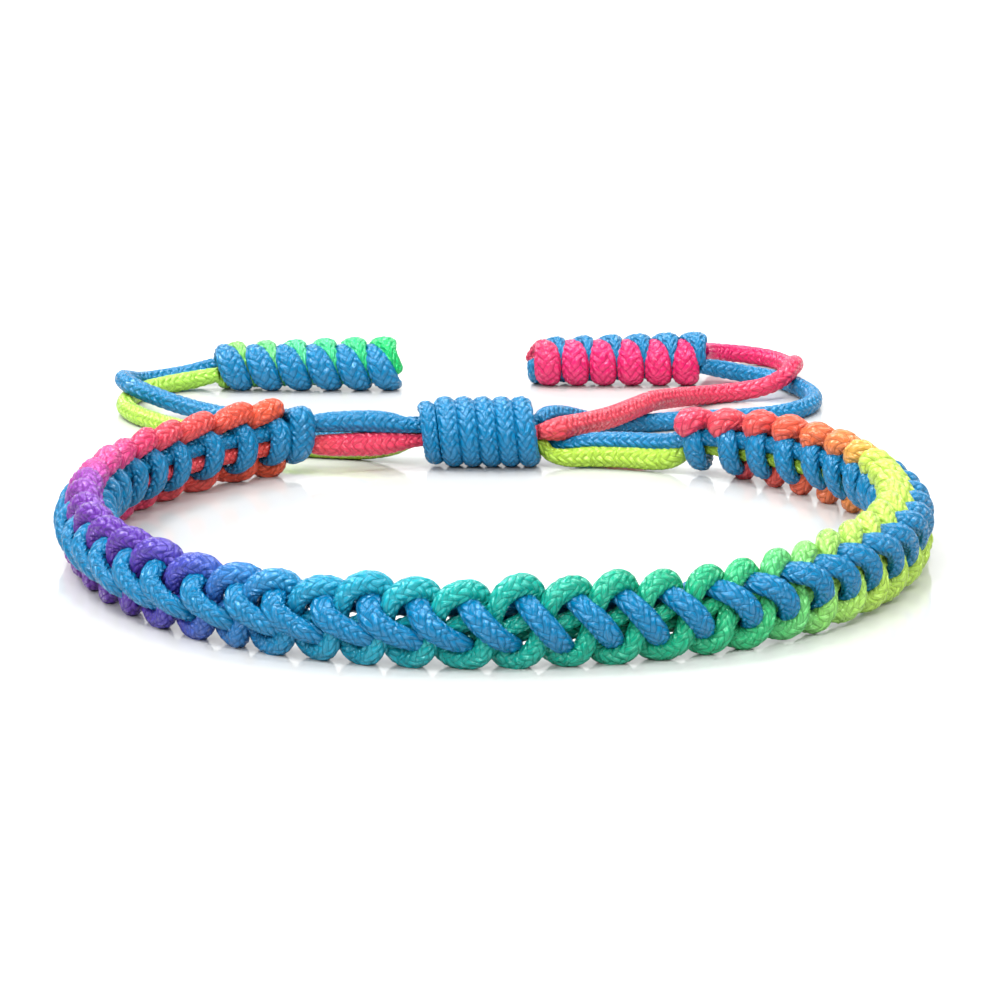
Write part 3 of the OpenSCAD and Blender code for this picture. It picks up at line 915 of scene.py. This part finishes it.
class BRACELET_OT_core(Operator):
    """Core cords, through the sliding knot, along the band and through the knot again"""

    bl_idname = "bracelet.core"
    bl_label = "Core cords"

    def execute(self, context):
        scene = context.scene
        band = scene.bracelet_band
        knots = scene.bracelet_knots
        thickness = band.core / MM
        for name, (side, left, right, first, last, depths, finish, slot) in CORES.items():
            marks, outward, lift = zip(*depths)
            rise = side * band.core_rise / MM
            inside = [(knot, np.interp(knot, marks, outward), rise * np.interp(knot, marks, lift),
                       thickness, thickness) for knot in range(band.knots + 1)]
            rows = held(first, knots)[::-1] + left[::-1]
            rows += [tuple(row[:4]) for row in in_band(inside, band.knots)]
            rows += right + held(last, knots)[::-1]
            braided_cord(name, smooth(round_cord(rows)), scene.bracelet_cord.tight_lead,
                         MATERIALS[finish])
        return {"FINISHED"}


class BRACELET_OT_slider(Operator):
    """Sliding knot: turns of blue cord that hold the four cords"""

    bl_idname = "bracelet.slider"
    bl_label = "Sliding knot"

    def execute(self, context):
        knots = context.scene.bracelet_knots
        cord = knots.slider_cord / MM
        pitch = knots.slider_pitch / MM
        inner = knots.slider_radius / MM - cord / 2
        z = slider_axis_z(knots)
        angles, sizes = zip(*SLIDER_SIZES)
        first = angles[0]
        last = 360 * knots.slider_turns - first
        rows = []
        for angle in np.arange(first, last + 1, TURN_STEP):
            size = cord * np.interp(angle, angles, sizes)
            radius = inner + size / 2
            turned = math.radians(angle)
            rows.append((FIRST_FRONT_X + pitch * (angle - 180) / 360, SLIDER_Y + radius * math.cos(turned),
                         z + radius * math.sin(turned), size, SLIDER_WIDTH * pitch * size / cord,
                         0, math.cos(turned), math.sin(turned), angle / last))
        braided_cord("slider_knot", smooth(rows, 4), context.scene.bracelet_cord.tight_lead,
                     MATERIALS["blue"])
        return {"FINISHED"}


# Coils of the stopper knots. Columns: stop, side (1 the front coil, -1 the back one), first angle,
# last angle after all its turns, finish and slot.
COILS = {
    "stopper_right_pink": (RIGHT_STOP, 1, -110, -60, "pink", "cord_pink"),
    "stopper_right_blue": (RIGHT_STOP, -1, -290, -240, "blue", "cord_blue"),
    "stopper_left_blue": (LEFT_STOP, 1, -90, -150, "blue", "cord_blue"),
    "stopper_left_green": (LEFT_STOP, -1, -250, -230, "green", "cord_green"),
}


def coil(name, knots):
    """Rows of one cord of a stopper knot. The angle runs from the top over the front to the
    bottom. A turn is squeezed up to twice as wide where it lies on the outside of the knot."""
    stop, side, start, end = COILS[name][:4]
    start_x, axis_y, pitch, ahead, drawn = stop
    front = side > 0
    end = end + 360 * knots.stop_turns
    radius = knots.stop_radius / MM
    gap = knots.stop_gap / MM
    thick = knots.stop_cord / MM
    low = radius + thick / 2 * PRESSED
    count = int((end - start) / TURN_STEP)
    rows = []
    for i in range(count + 1):
        turn = start + (end - start) * i / count
        angle = math.radians(turn)
        along = turn / 360 + (0 if front else ahead)
        lean = math.radians(LEAN_START + LEAN_GROWTH * along / knots.stop_turns)
        if front:
            outside = math.sqrt(max(0, math.sin(angle - FRONT_LEAN * lean)))
            width = thick * (1.25 + 0.75 * outside)
            lift = 0
        else:
            outside = max(0, -math.sin(angle - lean))
            width = thick * (1 + outside)
            lift = gap * math.sin(lean)
        rows.append((start_x + pitch * (along + drawn * math.cos(angle)),
                     axis_y - side * gap / 2 * math.cos(lean) - radius * math.sin(angle),
                     low + lift + radius * math.cos(angle),
                     thick, width, 0, -math.sin(angle), math.cos(angle), i / count))
    return rows


class BRACELET_OT_stoppers(Operator):
    """Stopper knots: two cords wound the same way, each between the other's turns"""

    bl_idname = "bracelet.stoppers"
    bl_label = "Stopper knots"

    def execute(self, context):
        scene = context.scene
        for name, (*_, finish, slot) in COILS.items():
            braided_cord(name, smooth(coil(name, scene.bracelet_knots), 4), scene.bracelet_cord.tight_lead,
                         MATERIALS[finish], rounded=True)
        return {"FINISHED"}


# Loose ends, each the rest of a core cord. Columns: route, thickness factor where it starts, angle
# and face (0 left, -1 right) where it leaves the sliding knot, stopper cord that it goes into and
# the end of that cord (0 first, -1 last), finish and slot.
TAILS = {
    "tail_right_blue": (TAIL_RIGHT_BLUE, 1.0, 135, -1, "stopper_right_blue", -1, "blue", "cord_blue"),
    "tail_right_red": (TAIL_RIGHT_RED, 1.2, 225, -1, "stopper_right_pink", -1, "red", "cord_red"),
    "tail_left_blue": (TAIL_LEFT_BLUE, 1.0, 45, 0, "stopper_left_blue", 0, "blue", "cord_blue"),
    "tail_left_lime": (TAIL_LEFT_LIME, 1.0, 315, 0, "stopper_left_green", 0, "lime", "cord_lime"),
}


class BRACELET_OT_tails(Operator):
    """Loose ends: four cords that lie on the surface"""

    bl_idname = "bracelet.tails"
    bl_label = "Loose ends"

    def execute(self, context):
        scene = context.scene
        cord = scene.bracelet_cord
        knots = scene.bracelet_knots
        for name, (route, swell, angle, face, stopper, end, finish, slot) in TAILS.items():
            rows = [held(angle, knots)[face]]
            for i, point in enumerate(route):
                rows.append((*point, cord.free / MM * np.interp(i, [0, SWOLLEN_ROWS], [swell, 1])))
            rows.append((*coil(stopper, knots)[end][:3], TAIL_END_THICKNESS))
            path = smooth(round_cord(rows))
            piece = braided_cord(name, path, cord.free_lead, MATERIALS[finish])
        return {"FINISHED"}


class BRACELET_PT_panel(Panel):
    """The bracelet's sizes, colours and pieces"""

    bl_idname = "BRACELET_PT_panel"
    bl_label = "Bracelet"
    bl_space_type = "VIEW_3D"
    bl_region_type = "UI"
    bl_category = "Bracelet"

    def draw(self, context):
        layout = self.layout
        for name, group in GROUPS.items():
            box = layout.box()
            settings = getattr(context.scene, name)
            for prop in group.__annotations__:
                box.prop(settings, prop)
        for operator in STEPS:
            layout.operator(operator.bl_idname)


MATERIALS = {}
GROUPS = {
    "bracelet_cord": BraceletCord,
    "bracelet_band": BraceletBand,
    "bracelet_knots": BraceletKnots,
    "bracelet_colours": BraceletColours,
    "bracelet_stage": BraceletStage,
}
STEPS = [BRACELET_OT_stage, BRACELET_OT_stoppers, BRACELET_OT_tails, BRACELET_OT_slider, BRACELET_OT_core,
         BRACELET_OT_band]


def register():
    for group in GROUPS.values():
        bpy.utils.register_class(group)
    for name, group in GROUPS.items():
        setattr(bpy.types.Scene, name, PointerProperty(type=group))
    for operator in STEPS:
        bpy.utils.register_class(operator)
    bpy.utils.register_class(BRACELET_PT_panel)


def unregister():
    bpy.utils.unregister_class(BRACELET_PT_panel)
    for operator in reversed(STEPS):
        bpy.utils.unregister_class(operator)
    for name in GROUPS:
        delattr(bpy.types.Scene, name)
    for group in reversed(list(GROUPS.values())):
        bpy.utils.unregister_class(group)


def main():
    register()
    blue = bpy.context.scene.bracelet_colours.blue
    for name, stops in {"blue": [(0.0, blue)], **DYES}.items():
        MATERIALS[name] = braided_nylon(name + "_nylon", stops)
    for operator in STEPS:
        group, name = operator.bl_idname.split(".")
        getattr(getattr(bpy.ops, group), name)()


if __name__ == "__main__":
    main()
